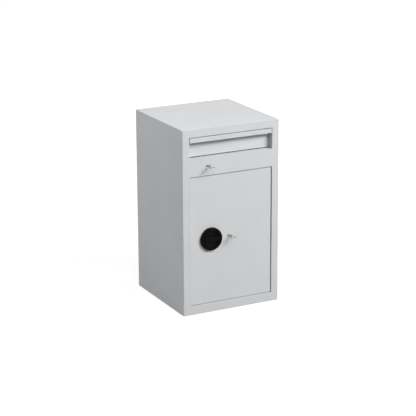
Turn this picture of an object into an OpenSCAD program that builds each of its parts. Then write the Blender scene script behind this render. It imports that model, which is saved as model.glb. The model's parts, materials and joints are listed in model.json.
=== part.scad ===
// Deposit safe: a pull-out deposit drawer over a locked compartment.
// Frame: origin at the bottom centre of the cabinet, +X to the right,
// -Y towards the user and +Z up. At rest the door is shut with its bolts
// drawn back, the drawer is in, and both keys stand in their locks.

/* [Cabinet] */
// Width of the cabinet
body_w = 450; // [420:1:600]
// Depth of the cabinet
body_d = 450; // [430:1:650]
// Height of the cabinet
body_h = 800; // [780:1:1100]
// Thickness of the outer sheet
sheet_t = 3; // [2:0.5:4]
// Thickness of the base plate
base_t = 5; // [4:0.5:8]
// Thickness of the front frame plate
frame_t = 4; // [3:0.5:5]
// Thickness of the flanges turned in around the openings
return_t = 3; // [2:0.5:4]
// Thickness of the inner wall sheets
liner_t = 2; // [1.5:0.5:3]
// Space between the back panel and the inner back wall
back_cavity = 25; // [15:1:40]
// Width of the frame beside the openings
border_side = 31; // [28:1:40]
// Height of the frame above the drawer
border_top = 34; // [30:1:45]
// Height of the frame below the door
border_bottom = 39; // [36:1:60]
// Height of the drawer opening
drawer_open_h = 90; // [88:1:110]
// Height of the fixed band between drawer and door
band_h = 77; // [76:1:100]
// Depth of the flanges beside, over and under the openings
return_depth = 55; // [50:1:70]
// Depth of the flanges along the band
sill_depth = 28; // [27:0.5:29]

/* [Anchoring] */
// Distance between the floor anchor holes, left to right
anchor_pitch_x = 300; // [200:1:320]
// Distance between the floor anchor holes, front to back
anchor_pitch_y = 240; // [150:1:260]
// Radius of the anchor holes
anchor_r = 7; // [5:0.5:9]
// Wall thickness of the anchor sleeves
sleeve_t = 3; // [2:0.5:5]
// Height of the wall anchor holes
wall_anchor_z = 540; // [300:1:560]

/* [Door] */
// Gap between the door and its opening
door_gap = 3; // [2.5:0.1:3.5]
// How far the door sits behind the front frame
door_recess = 5; // [4:0.5:6]
// Thickness of the door plate
door_t = 5; // [4:0.5:6]
// Depth of the space for the boltwork
pan_depth = 40; // [38:1:50]
// Thickness of the door's inner sheets
pan_t = 2; // [1.5:0.5:3]
// Pivot axis to the right edge of the door
hinge_inset = 24; // [22:0.5:30]
// Pivot axis behind the face of the door
hinge_back = 10; // [9.5:0.1:10.5]
// Radius of the pivot pins
hinge_pin_r = 4.5; // [3.5:0.1:4.5]
// Height of a pivot block
hinge_block_h = 30; // [20:1:50]

/* [Boltwork] */
// Radius of the door bolts
bolt_r = 9; // [7:0.5:10]
// Outer door bolts to the ends of the door
bolt_inset = 77; // [62:1:100]
// Radius of the crank that drives the bolts
crank_r = 13; // [10:0.5:13]
// Radius of the crank pin
crank_pin_r = 4; // [3:0.5:5]
// Thickness of the bolt bar
bar_t = 5; // [4:0.5:6]
// Width of the bolt bar
bar_w = 24; // [20:1:28]

/* [Handle] */
// Centre of the handle from the left edge of the door
knob_inset = 96; // [90:0.5:110]
// Height of the handle and the door lock over the middle of the door
handle_rise = 3.5; // [0:0.5:8]
// Radius of the fixed rosette
rosette_r = 49.5; // [44:0.5:52]
// How far the rosette stands proud of the door
rosette_h = 12; // [10:0.5:16]
// Width of the rosette's ring
rosette_ring = 9.6; // [7:0.1:12]
// Height of the grip bar
grip_w = 20; // [14:0.5:26]

/* [Locks] */
// Drawer lock from the middle of the cabinet
drawer_lock_x = -107; // [-140:1:-90]
// Door lock from the middle of the cabinet
door_lock_x = -5; // [-8:1:30]
// Half width of a lock case
lock_hw = 28; // [24:1:32]
// Stroke of a lock bolt
lock_throw = 11; // [9:0.5:12]
// Radius of a key's stem
key_stem_r = 3; // [2.5:0.1:3.5]
// Reach of a key's bits from its axis
key_bit_r = 10; // [8:0.5:11]
// How far a key stands out of its plate
key_reach = 44; // [30:1:60]
// Outer radius of a key's ring
key_ring_r = 12; // [9:0.5:15]

/* [Drawer] */
// Gap beside and below the drawer front
drawer_gap = 3; // [2:0.1:3.5]
// Gap above the drawer front
drawer_top_gap = 3.5; // [2.5:0.1:4.5]
// Thickness of the drawer front
drawer_front_t = 2; // [1.5:0.5:2.5]
// Height of the pull strip
strip_h = 19.5; // [16:0.5:28]
// How far the drawer's panel is set back
panel_recess = 27; // [26:0.5:27]
// Thickness of the drawer sides and back
tray_t = 1.5; // [1:0.25:2]
// Space between a drawer side and the wall
slide_space = 12.5; // [12.5:0.1:14]
// How far the drawer pulls out
drawer_stroke = 180; // [150:1:190]
// Height of a runner
runner_h = 24; // [18:1:28]
// Length of a runner
runner_l = 316; // [300:1:340]

/* [Drop flap] */
// Length of the drop flap
flap_l = 180; // [170:1:186]
// Angle at which the flap hangs
flap_drop = 30; // [24:1:32]
// Height of the flap's axis over the drawer sill
flap_axis_h = 26; // [26:0.5:30]
// Radius of the flap's rod
flap_rod_r = 3; // [2.5:0.1:3.5]
// Thickness of the flap's sheet
flap_t = 2; // [1.5:0.25:2.5]
// Radius of the flap's guide pins
guide_pin_r = 4; // [3:0.5:4.5]
// Gap between the tip of a guide pin and the side wall
guide_tip_gap = 2.5; // [1.5:0.5:4]

/* [Hidden] */
$fn = 64;
round_fn = 96;
front = -body_d / 2;
back = body_d / 2;
side = body_w / 2;
open_hw = side - border_side;
drawer_top = body_h - border_top;
drawer_sill = drawer_top - drawer_open_h;
door_head = drawer_sill - band_h;
door_sill = border_bottom;
// Clearances: a running fit, a small air gap, and a cut past a face
run_gap = 0.05;
air = 0.3;
eps = 1;
frame_rear = front + frame_t;
return_rear = front + return_depth;
sill_rear = front + sill_depth;
liner_back_y = back - sheet_t - back_cavity - liner_t;
// The anchor holes lie midway between the front flanges and the inner back wall
anchor_mid_y = (return_rear + liner_back_y) / 2;
sleeve_r = anchor_r + sleeve_t;

// Door
door_face = front + door_recess;
door_rear = door_face + door_t;
door_hw = open_hw - door_gap;
door_z0 = door_sill + door_gap;
door_z1 = door_head - door_gap;
door_mid = (door_z0 + door_z1) / 2;
handle_z = door_mid + handle_rise;
pan_rear = door_rear + pan_depth;
hinge_x = door_hw - hinge_inset;
hinge_y = door_face + hinge_back;
block_wall = 2.5;
block_hw = hinge_pin_r + block_wall;
pan_edge = 7;
pan_end = 10;
pan_gap = 2;
pan_x0 = -door_hw + pan_edge;
pan_x1 = hinge_x - block_hw - pan_gap;
pan_z0 = door_z0 + pan_end;
pan_z1 = door_z1 - pan_end;
bush_wall = 3;
hinge_bush_r = hinge_pin_r + bush_wall;
bush_collar_w = 2.5;
bush_collar_r = hinge_bush_r + bush_collar_w;
bush_collar_t = 3;
pin_overrun = 2;
bolt_pitch = (door_z1 - door_z0) / 2 - bolt_inset;
post_r = 5;
post_inset = 14;
post_xs = [pan_x0 + post_inset, pan_x1 - post_inset];
post_end = 20;
post_zs = [pan_z0 + post_end, door_mid + bolt_pitch / 2, pan_z1 - post_end];
cover_screw_r = 2.5;
cover_screw_l = 12;
screw_head_w = 2;
screw_head_t = 2.5;

// Boltwork. The crank disc and then the bar lie behind the door plate
crank_space = 3;
crank_disc_t = 6;
crank_rim = 3;
crank_y0 = door_rear + crank_space;
crank_y1 = crank_y0 + crank_disc_t;
crank_disc_r = crank_r + crank_pin_r + crank_rim;
bar_y0 = crank_y1 + crank_space;
bar_y1 = bar_y0 + bar_t;
bolt_lift = 1;
bolt_y = bar_y1 + bolt_lift;
// The crank swings 45 degrees to each side of straight down
bolt_stroke = 2 * crank_r * sin(45);
bolt_zs = [door_mid - bolt_pitch, door_mid, door_mid + bolt_pitch];
bolt_clear = 1;
bolt_flat_gap = 1;
knob_x = -door_hw + knob_inset;
bar_offset = 16.5;
bar_x1 = knob_x - bar_offset;
bar_x0 = bar_x1 - bar_w;
bar_mid_x = bar_x1 - bar_w / 2;
bar_end = 16;
bar_z0 = bolt_zs[0] - bar_end;
bar_z1 = bolt_zs[2] + bar_end;
bolt_screw_r = 3;
bolt_screw_l = 6;
keeper_t = 6;
keeper_end = 30;
keeper_edge = 4;
bolt_bush_r = bolt_r + bush_wall;
bolt_bush_l = 8;
bolt_collar = 2;
slot_gap = 0.6;
pin_rest_x = knob_x + crank_r * sin(45);
pin_rest_z = handle_z - crank_r * cos(45);
guide_post_r = 5;
guide_head_w = 3;
guide_share = 0.6;
guide_zs = [door_mid - bolt_pitch * guide_share, door_mid + bolt_pitch * guide_share];
guide_offset = 12;
guide_x = bar_x1 + guide_offset;
guide_tab_hw = 13;
bar_edge = 10;

// Handle
spindle_r = 8;
spindle_bush_r = spindle_r + bush_wall;
spindle_collar = 3;
spindle_seat = 1;
dish_gap = 0.5;
dish_lift = 1;
grip_proud = 2;
grip_draft = 2;
dish_r = rosette_r - rosette_ring - dish_gap;
dish_floor_t = 3;
dish_y = door_face - dish_lift;
grip_top_y = door_face - rosette_h - grip_proud;
rosette_screw_c = rosette_r - rosette_ring / 2;

// Locks. A case reaches further from the key's axis on the bolt's side
lock_up = 34;
lock_down = 32;
lock_wall = 2;
lock_bolt_hw = 7;
lock_bolt_t = 6;
lock_head_w = 16;
lock_bolt_proud = 2;
lock_tail_t = 2;
lock_tail_w = 4;
lock_tail_end = 6;
lock_window = 1.5;
lock_screw_r = 2;
lock_screw_depth = 0.6;
lock_post = 4;
lock_post_edge = 1;
rosette_screw_r = 2;
rosette_screw_l = 7;
lock_screw_inset = lock_post + lock_post_edge;
lock_screw_ws = [-lock_down + lock_screw_inset, lock_up - lock_screw_inset];
lever_n = 5;
lever_t = 1;
lever_pitch = 1.35;
lever_lift = 1.5;
lever_side_gap = 2.5;
lever_end_gap = 3;
lever_key_gap = 0.6;
lever_bolt_gap = 0.4;
lever_hw = lock_hw - lock_wall - 2 * lock_post - lever_side_gap;
lever_reach = lock_down - lock_wall - lever_end_gap;
lever_window_r = key_bit_r + lever_lift + lever_key_gap;
lever_pack_t = lever_n * lever_pitch + lever_bolt_gap;
keyhole_gap = 0.4;
// Play of the flat bits in their slot
keyhole_play = 1;
bit_t = 2.2;
bit_cut = 1.5;
bit_gap = 0.5;
door_case_rear = 5;
door_case_y1 = bar_y1 + door_case_rear;
door_lock_bolt_y = bar_y0 - (lock_bolt_t - bar_t) / 2;
door_lever_y = door_lock_bolt_y - lever_pack_t;
drawer_lock_z = (drawer_sill + door_head) / 2;
bolt_sill_gap = 1.5;
drawer_case_rear = 3;
drawer_lock_bolt_y = sill_rear + bolt_sill_gap;
drawer_case_y1 = drawer_lock_bolt_y + lock_bolt_t + drawer_case_rear;
drawer_lever_y = drawer_lock_bolt_y - lever_pack_t;
tail_gap = 3;
tail_z1 = handle_z - lock_up - lock_bolt_proud - tail_gap;
tail_z0 = tail_z1 - bar_w;
notch_hw = lock_bolt_hw + slot_gap;
notch_depth = lock_throw;
escutcheon_r = 12;
escutcheon_t = 1.5;
escutcheon_bevel = 0.6;
key_ring_t = 3;
key_ring_w = 5;
keeper_side = 5;
keeper_hw = lock_bolt_hw + keeper_side;
keeper_sheet = 2;
keeper_clear = 1;
keeper_foot = 9;

// Drawer
front_hw = open_hw - drawer_gap;
panel_y0 = front + panel_recess;
panel_y1 = panel_y0 + drawer_front_t;
panel_z0 = drawer_sill + drawer_gap;
panel_z1 = drawer_top - drawer_top_gap;
tray_hw = open_hw - slide_space;
flap_back = 8;
flap_y = panel_y1 + flap_back;
flap_z = drawer_sill + flap_axis_h;
flap_clear = 0.5;
flap_under = flap_rod_r + flap_clear;
flap_top = flap_under + flap_t;
tray_clear = 1;
tray_z0 = flap_z + flap_top + tray_clear;
tray_top_gap = 4.5;
tray_z1 = panel_z1 - tray_top_gap;
tray_back_gap = 3;
tray_foot_gap = 4;
tray_back_y = flap_y + flap_l + tray_back_gap;
tray_back_z0 = drawer_sill + tray_foot_gap;
rail_web = 2.5;
rail_flange = 2.5;
rail_gap = 2.5;
rail_lip_gap = 2;
rail_lip_x = tray_hw + rail_lip_gap;
rail_tab_t = 3;
rail_front_gap = 6;
rail_y0 = panel_y1 + rail_front_gap;
rail_tail = 20;
rail_y1 = panel_y1 + runner_l + rail_tail;
runner_lift = 10.8;
runner_z0 = tray_z0 + runner_lift;
runner_z1 = runner_z0 + runner_h;
rail_z0 = runner_z0 - rail_gap - rail_flange;
rail_z1 = runner_z1 + rail_gap + rail_flange;
rail_x = open_hw - rail_web;
runner_t = 7;
runner_x1 = tray_hw + runner_t;
glide_t = rail_gap - air;
glide_l = 40;
glide_inset = 0.5;
glide_x = rail_lip_x + glide_inset;
glide_end = 10;
stop_l = 8;
stop_inset = 2;
stop_tab = 2.3;
stop_edge = 4;
stop_y = rail_y0 + rail_tab_t + drawer_stroke + air;
flap_overlap = 2.5;
flap_hw = tray_hw + flap_overlap;
flap_rib_t = 2;
rod_end = 6;
knuckle_wall = 2;
rod_hw = tray_hw - tray_t - rod_end;
knuckle_r = flap_rod_r + knuckle_wall;
knuckle_hw = 30;
lug_share = 0.86;
lug_x = rod_hw * lug_share;
knuckle_x = lug_x / 2;
lug_hw = 4;
lug_wall = 3;
lug_edge = 4;
plate_u0 = 8;
rib_foot_l = 16;
rib_foot_h = 6;
ledge_t = 1.5;
ledge_h = 14;
ledge_w = 18;
guide_end = 6;
guide_u = flap_l - guide_end;
track_t = 7;
track_h = 8;
track_steps = 24;

shell_grey = [0.80, 0.81, 0.82];
inner_grey = [0.70, 0.71, 0.73];
zinc = [0.72, 0.73, 0.75];
steel = [0.62, 0.63, 0.65];
nickel = [0.80, 0.80, 0.78];
brass = [0.78, 0.62, 0.30];
black = [0.07, 0.07, 0.08];
nylon = [0.88, 0.88, 0.84];

// A box between two corners
module block(x0, x1, y0, y1, z0, z1) {
    translate([x0, y0, z0]) cube([x1 - x0, y1 - y0, z1 - z0]);
}

// Cylinders along each axis, from one end to the other
module bar_x(r, x0, x1, y, z) {
    translate([x0, y, z]) rotate([0, 90, 0]) cylinder(r = r, h = x1 - x0);
}
module bar_y(r, y0, y1, x, z) {
    translate([x, y0, z]) rotate([-90, 0, 0]) cylinder(r = r, h = y1 - y0);
}
module bar_z(r, z0, z1, x, y) {
    translate([x, y, z0]) cylinder(r = r, h = z1 - z0);
}

// Copies on the left and on the right
module both_sides() {
    children();
    mirror([1, 0, 0]) children();
}

// Lathe profile of [radius, height] points about an axis that runs out of the
// door, from the height y
module turned(y, x, z, profile) {
    translate([x, y, z]) rotate([90, 0, 0]) rotate_extrude($fn = round_fn) polygon(profile);
}

// Points of a quarter round between two headings, for lathe profiles
function quarter(cx, cy, r, a0, a1, n = 6) =
    [for (i = [0:n]) [cx + r * cos(a0 + (a1 - a0) * i / n), cy + r * sin(a0 + (a1 - a0) * i / n)]];

// Cabinet

module outer_shell() {
    color(shell_grey) difference() {
        block(-side, side, frame_rear, back, 0, body_h);
        block(-side + sheet_t, side - sheet_t, frame_rear - eps, back + eps, -eps, body_h - sheet_t);
    }
}

module back_panel() {
    color(shell_grey) difference() {
        block(-side + sheet_t, side - sheet_t, back - sheet_t, back, base_t, body_h - sheet_t);
        for (x = [-1, 1] * anchor_pitch_x / 2) {
            bar_y(anchor_r, back - sheet_t - eps, back + eps, x, wall_anchor_z);
        }
    }
}

module anchor_positions() {
    for (x = [-1, 1] * anchor_pitch_x / 2) {
        for (y = [-1, 1] * anchor_pitch_y / 2) {
            translate([x, anchor_mid_y + y, 0]) children();
        }
    }
}

module base_plate() {
    color(shell_grey) difference() {
        block(-side + sheet_t, side - sheet_t, frame_rear, back, 0, base_t);
        anchor_positions() bar_z(anchor_r, -eps, base_t + eps, 0, 0);
    }
}

// Keyhole: round for the stem and a level slot for the bits
module keyhole(x, z, y0, y1) {
    bar_y(key_stem_r + keyhole_gap, y0, y1, x, z);
    block(x - key_bit_r - keyhole_gap, x + key_bit_r + keyhole_gap, y0, y1,
        z - bit_t / 2 - keyhole_play, z + bit_t / 2 + keyhole_play);
}

module front_frame() {
    color(shell_grey) difference() {
        union() {
            difference() {
                block(-side, side, front, frame_rear, 0, body_h);
                block(-open_hw, open_hw, front - eps, frame_rear + eps, drawer_sill, drawer_top);
                block(-open_hw, open_hw, front - eps, frame_rear + eps, door_sill, door_head);
            }
            both_sides() block(open_hw, open_hw + return_t, frame_rear, return_rear,
                door_sill - return_t, drawer_top + return_t);
            block(-open_hw, open_hw, frame_rear, return_rear, drawer_top, drawer_top + return_t);
            block(-open_hw, open_hw, frame_rear, return_rear, door_sill - return_t, door_sill);
            block(-open_hw, open_hw, frame_rear, sill_rear, drawer_sill - return_t, drawer_sill);
            block(-open_hw, open_hw, frame_rear, sill_rear, door_head, door_head + return_t);
        }
        keyhole(drawer_lock_x, drawer_lock_z, front - eps, frame_rear + eps);
        lock_screw_places(drawer_lock_x, drawer_lock_z, 1)
            bar_y(lock_screw_r, frame_rear - frame_t * lock_screw_depth, frame_rear + eps, 0, 0);
        for (z = bolt_zs) bar_x(bolt_r + bolt_clear, -open_hw - return_t - eps, -open_hw + eps, bolt_y, z);
        bar_z(hinge_bush_r, door_head - eps, door_head + return_t + eps, hinge_x, hinge_y);
        bar_z(hinge_bush_r, door_sill - return_t - eps, door_sill + eps, hinge_x, hinge_y);
    }
}

module side_liner() {
    color(inner_grey) block(open_hw, open_hw + liner_t, return_rear, liner_back_y, door_sill, drawer_top);
}

module liner_back() {
    color(inner_grey) difference() {
        block(-open_hw - liner_t, open_hw + liner_t, liner_back_y, liner_back_y + liner_t,
            door_sill - liner_t, drawer_top + liner_t);
        for (x = [-1, 1] * anchor_pitch_x / 2) {
            bar_y(anchor_r, liner_back_y - eps, liner_back_y + liner_t + eps, x, wall_anchor_z);
        }
    }
}

module liner_top() {
    color(inner_grey) block(-open_hw - liner_t, open_hw + liner_t, return_rear, liner_back_y,
        drawer_top, drawer_top + liner_t);
}

module liner_floor() {
    color(inner_grey) difference() {
        block(-open_hw - liner_t, open_hw + liner_t, return_rear, liner_back_y,
            door_sill - liner_t, door_sill);
        anchor_positions() bar_z(anchor_r, door_sill - liner_t - eps, door_sill + eps, 0, 0);
    }
}

module floor_sleeves() {
    color(zinc) anchor_positions() difference() {
        bar_z(sleeve_r, base_t, door_sill - liner_t, 0, 0);
        bar_z(anchor_r, base_t - eps, door_sill, 0, 0);
    }
}

module wall_sleeves() {
    color(zinc) for (x = [-1, 1] * anchor_pitch_x / 2) difference() {
        bar_y(sleeve_r, liner_back_y + liner_t, back - sheet_t, x, wall_anchor_z);
        bar_y(anchor_r, liner_back_y, back, x, wall_anchor_z);
    }
}

module bolt_keeper() {
    color(zinc) difference() {
        block(-open_hw - return_t - keeper_t, -open_hw - return_t,
            frame_rear + keeper_edge, return_rear - keeper_edge,
            bolt_zs[0] - keeper_end, bolt_zs[2] + keeper_end);
        for (z = bolt_zs) {
            bar_x(bolt_r + bolt_clear, -open_hw - return_t - keeper_t - eps, -open_hw, bolt_y, z);
        }
    }
}

// Flanged bushes for the pivot pins. The door's weight rests on the lower flange
module hinge_bushes() {
    color(brass) difference() {
        union() {
            bar_z(hinge_bush_r, door_head, door_head + return_t, hinge_x, hinge_y);
            bar_z(bush_collar_r, door_head + return_t, door_head + return_t + bush_collar_t,
                hinge_x, hinge_y);
            bar_z(hinge_bush_r, door_sill - return_t, door_sill, hinge_x, hinge_y);
            bar_z(bush_collar_r, door_sill, door_z0 - air, hinge_x, hinge_y);
        }
        bar_z(hinge_pin_r + run_gap, 0, body_h, hinge_x, hinge_y);
    }
}

// Fixed drawer rail: a channel that opens to the drawer, with a stop tab in front
module rail() {
    color(zinc) {
        block(rail_x, open_hw, rail_y0, rail_y1, rail_z0, rail_z1);
        block(rail_lip_x, rail_x, rail_y0, rail_y1, rail_z1 - rail_flange, rail_z1);
        block(rail_lip_x, rail_x, rail_y0, rail_y1, rail_z0, rail_z0 + rail_flange);
        block(runner_x1 + air, rail_x, rail_y0, rail_y0 + rail_tab_t,
            rail_z0 + rail_flange, rail_z1 - rail_flange);
    }
}

module rail_stops() {
    stop_y0 = panel_y1 + runner_l + air;
    color(black) both_sides() block(rail_lip_x + stop_inset, rail_x, stop_y0, stop_y0 + stop_l,
        rail_z0 + rail_flange, rail_z1 - rail_flange);
}

// Angle of the flap, and the place of its guide pins, at a drawer travel s
function flap_angle(s) = flap_drop * (1 - s / drawer_stroke);
function guide_at(s) = [flap_y - s + guide_u * cos(flap_angle(s)), flap_z - guide_u * sin(flap_angle(s))];
// The track's upper edge lies under the path of the pins, at right angles to it
function track_at(s) = let (
    d = guide_at(s + 0.5) - guide_at(s - 0.5),
    n = [d[1], -d[0]] / norm(d)
) guide_at(s) - n * (guide_pin_r + air);

module flap_tracks() {
    upper = [for (i = [0:track_steps]) track_at(i * drawer_stroke / track_steps)];
    lead = upper[0] + (upper[0] - upper[1]);
    line = concat([lead], upper);
    lower = [for (i = [len(line) - 1:-1:0]) line[i] - [0, track_h]];
    color(zinc) both_sides() translate([open_hw - track_t, 0, 0]) rotate([90, 0, 90])
        linear_extrude(track_t) polygon(concat(line, lower));
}

// Lever lock, seen from the key's axis at x and z. up is 1 where the bolt
// rises and -1 where it drops. The case runs from the plate at y0 to y1
module lock_screw_places(x, z, up) {
    for (sx = [-1, 1]) {
        for (w = lock_screw_ws) {
            translate([x + sx * (lock_hw - lock_screw_inset), 0, z + up * w]) children();
        }
    }
}

module lock_box(x, z, up, y0, y1, inset) {
    lo = up > 0 ? z - lock_down : z - lock_up;
    hi = up > 0 ? z + lock_up : z + lock_down;
    block(x - lock_hw + inset, x + lock_hw - inset, y0, y1, lo + inset, hi - inset);
}

module lock_case(x, z, up, y0, y1, bolt_y0) {
    post_hw = lock_post + lock_post_edge;
    color(zinc) difference() {
        union() {
            difference() {
                lock_box(x, z, up, y0, y1 - lock_wall, 0);
                lock_box(x, z, up, y0 + lock_wall, y1, lock_wall);
            }
            intersection() {
                lock_box(x, z, up, y0, y1 - lock_wall, 0);
                lock_screw_places(x, z, up)
                    block(-post_hw, post_hw, y0, y1, -post_hw, post_hw);
            }
        }
        keyhole(x, z, y0 - eps, y0 + lock_wall + eps);
        lock_screw_places(x, z, up) bar_y(lock_screw_r, y0 - eps, y1, 0, 0);
        translate([x, 0, z + up * (lock_up - lock_wall / 2)])
            block(-lock_bolt_hw - air, lock_bolt_hw + air, bolt_y0 - air, bolt_y0 + lock_bolt_t + air,
                -lock_wall, lock_wall);
    }
}

module lock_cover(x, z, up, y1) {
    color(zinc) difference() {
        lock_box(x, z, up, y1 - lock_wall, y1, 0);
        lock_screw_places(x, z, up) bar_y(lock_screw_r, y1 - lock_wall - eps, y1 + eps, 0, 0);
        bar_y(key_stem_r + run_gap, y1 - lock_wall - eps, y1 + eps, x, z);
    }
}

module lock_screws(x, z, up, y0, y1) {
    color(steel) lock_screw_places(x, z, up) {
        bar_y(lock_screw_r, y0, y1, 0, 0);
        bar_y(lock_screw_r + screw_head_w, y1, y1 + screw_head_t, 0, 0);
    }
}

// Lever plates, each with a window round the key's bits and a gap to the next
module levers(x, z, y0) {
    color(brass) for (i = [0:lever_n - 1]) difference() {
        translate([x, y0 + i * lever_pitch, z]) block(-lever_hw, lever_hw, 0, lever_t,
            -lever_reach, lever_reach);
        bar_y(lever_window_r, y0 + i * lever_pitch - eps, y0 + i * lever_pitch + lever_t + eps, x, z);
    }
}

// Lock bolt: a thick head and a thin tail with a window round the key's stem
module lock_bolt(x, z, up, y0) {
    tail_y1 = y0 + lock_bolt_t;
    tail_y0 = tail_y1 - lock_tail_t;
    window_hw = key_stem_r + lock_window;
    window_z0 = -window_hw - lock_throw;
    color(nickel) translate([x, 0, z]) mirror([0, 0, up > 0 ? 0 : 1]) difference() {
        union() {
            block(-lock_bolt_hw, lock_bolt_hw, y0, tail_y1, lock_head_w, lock_up + lock_bolt_proud);
            block(-lock_bolt_hw - lock_tail_w, lock_bolt_hw + lock_tail_w, tail_y0, tail_y1,
                window_z0 - lock_tail_end, lock_head_w);
        }
        block(-window_hw, window_hw, tail_y0 - eps, tail_y1 + eps, window_z0, window_hw);
    }
}

// Key with a stem, two level bits and a flat ring for a handle
module key(x, z, plate_y, tip_y, bit_y0, bit_y1) {
    ring_y = plate_y - key_reach + key_ring_r;
    color(nickel) difference() {
        union() {
            bar_y(key_stem_r, ring_y + key_ring_r - key_ring_w / 2, tip_y, x, z);
            block(x - key_bit_r, x + key_bit_r, bit_y0, bit_y1, z - bit_t / 2, z + bit_t / 2);
            translate([x, ring_y, z]) key_ring();
        }
        for (s = [-1, 1]) block(x + s * key_bit_r - bit_cut, x + s * key_bit_r + bit_cut,
            bit_y0 + bit_cut, bit_y0 + 2 * bit_cut, z - bit_t, z + bit_t);
    }
}

// Ring of the key: a flat ring, thinner than the stem
module key_ring() {
    translate([0, 0, -key_ring_t / 2]) difference() {
        cylinder(r = key_ring_r, h = key_ring_t);
        translate([0, 0, -eps]) cylinder(r = key_ring_r - key_ring_w, h = key_ring_t + 2 * eps);
    }
}

module escutcheon(x, z, y) {
    color(nickel) difference() {
        turned(y, x, z, [[0, 0], [escutcheon_r, 0], [escutcheon_r, escutcheon_t - escutcheon_bevel],
            [escutcheon_r - escutcheon_bevel, escutcheon_t], [0, escutcheon_t]]);
        keyhole(x, z, y - escutcheon_t - eps, y + eps);
    }
}

// Drawer lock, behind the band

module drawer_lock_case() {
    lock_case(drawer_lock_x, drawer_lock_z, 1, frame_rear, drawer_case_y1, drawer_lock_bolt_y);
}
module drawer_lock_cover() {
    lock_cover(drawer_lock_x, drawer_lock_z, 1, drawer_case_y1);
}
module drawer_lock_screws() {
    lock_screws(drawer_lock_x, drawer_lock_z, 1, frame_rear - frame_t * lock_screw_depth, drawer_case_y1);
}
module drawer_escutcheon() {
    escutcheon(drawer_lock_x, drawer_lock_z, front);
}
module drawer_levers() {
    levers(drawer_lock_x, drawer_lock_z, drawer_lever_y);
}
module drawer_lock_bolt() {
    lock_bolt(drawer_lock_x, drawer_lock_z, 1, drawer_lock_bolt_y);
}
module drawer_key() {
    key(drawer_lock_x, drawer_lock_z, front, drawer_case_y1, drawer_lever_y, drawer_lock_bolt_y - bit_gap);
}

// Drawer

// One bent sheet: the panel, a top and the pull strip, with lugs for the flap's rod
module drawer_front() {
    t = drawer_front_t;
    bevel = t / 2;
    profile = [
        [panel_y1, panel_z0],
        [panel_y1, panel_z1],
        [front + bevel, panel_z1],
        [front, panel_z1 - bevel],
        [front, panel_z1 - strip_h],
        [front + t, panel_z1 - strip_h],
        [front + t, panel_z1 - t],
        [panel_y0, panel_z1 - t],
        [panel_y0, panel_z0]];
    color(shell_grey) {
        translate([-front_hw, 0, 0]) rotate([90, 0, 90]) linear_extrude(2 * front_hw) polygon(profile);
        for (x = [-lug_x, 0, lug_x]) difference() {
            block(x - lug_hw, x + lug_hw, panel_y1, flap_y + lug_edge,
                flap_z - flap_rod_r - lug_wall, flap_z + flap_top);
            bar_x(flap_rod_r, x - lug_hw - eps, x + lug_hw + eps, flap_y, flap_z);
        }
    }
}

module drawer_side() {
    color(inner_grey) block(tray_hw - tray_t, tray_hw, panel_y1, tray_back_y, tray_z0, tray_z1);
}

module drawer_back() {
    color(inner_grey) block(-tray_hw, tray_hw, tray_back_y, tray_back_y + tray_t, tray_back_z0, tray_z1);
}

// Angle over the flap's rod, which closes the slot in front of the flap
module drawer_ledge() {
    color(inner_grey) {
        block(-tray_hw + tray_t, tray_hw - tray_t, panel_y1, panel_y1 + ledge_t,
            tray_z0, tray_z0 + ledge_h);
        block(-tray_hw + tray_t, tray_hw - tray_t, panel_y1, panel_y1 + ledge_w,
            tray_z0, tray_z0 + ledge_t);
    }
}

// Bracket behind the panel that the raised lock bolt holds back
module drawer_keeper() {
    foot_y = panel_y1 + keeper_sheet;
    hook_y0 = drawer_lock_bolt_y + lock_bolt_t + keeper_clear;
    hook_y1 = hook_y0 + keeper_sheet;
    shelf_z = drawer_lock_z + lock_up + lock_bolt_proud + lock_throw + keeper_clear;
    color(zinc) translate([drawer_lock_x - keeper_hw, 0, 0]) rotate([90, 0, 90])
        linear_extrude(2 * keeper_hw) polygon([
            [panel_y1, shelf_z],
            [hook_y0, shelf_z],
            [hook_y0, panel_z0],
            [hook_y1, panel_z0],
            [hook_y1, shelf_z + keeper_sheet],
            [foot_y, shelf_z + keeper_sheet],
            [foot_y, shelf_z + keeper_foot],
            [panel_y1, shelf_z + keeper_foot]]);
}

module runner() {
    color(zinc) {
        block(tray_hw, runner_x1, panel_y1, panel_y1 + runner_l, runner_z0, runner_z1);
        block(runner_x1, runner_x1 + stop_tab, stop_y, stop_y + stop_l,
            runner_z0 + stop_edge, runner_z1 - stop_edge);
    }
}

module runner_glides() {
    front_y = rail_y0 + glide_end;
    rear_y = panel_y1 + runner_l - glide_l - glide_end;
    color(nylon) both_sides() for (y = [front_y, rear_y]) {
        block(glide_x, runner_x1, y, y + glide_l, runner_z0 - glide_t, runner_z0);
        block(glide_x, runner_x1, y, y + glide_l, runner_z1, runner_z1 + glide_t);
    }
}

module flap_rod() {
    color(steel) bar_x(flap_rod_r, -rod_hw, rod_hw, flap_y, flap_z);
}

// Things fixed to the flap are laid out along it and then hung at its angle
module hang() {
    translate([0, flap_y, flap_z]) rotate([-flap_drop, 0, 0]) children();
}

module drop_flap() {
    color(inner_grey) hang() difference() {
        union() {
            block(-flap_hw, flap_hw, plate_u0, flap_l, flap_under, flap_top);
            both_sides() block(flap_hw - flap_rib_t, flap_hw, plate_u0, flap_l, 0, flap_under);
            both_sides() block(flap_hw - flap_rib_t, flap_hw, flap_l - rib_foot_l, flap_l, -rib_foot_h, 0);
            both_sides() block(knuckle_x - knuckle_hw, knuckle_x + knuckle_hw, 0, plate_u0,
                flap_under, flap_top);
            both_sides() bar_x(knuckle_r, knuckle_x - knuckle_hw, knuckle_x + knuckle_hw, 0, 0);
        }
        both_sides() bar_x(flap_rod_r + run_gap, knuckle_x - knuckle_hw - eps,
            knuckle_x + knuckle_hw + eps, 0, 0);
        both_sides() bar_x(guide_pin_r, flap_hw - flap_rib_t - eps, flap_hw + eps, guide_u, 0);
    }
}

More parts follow.
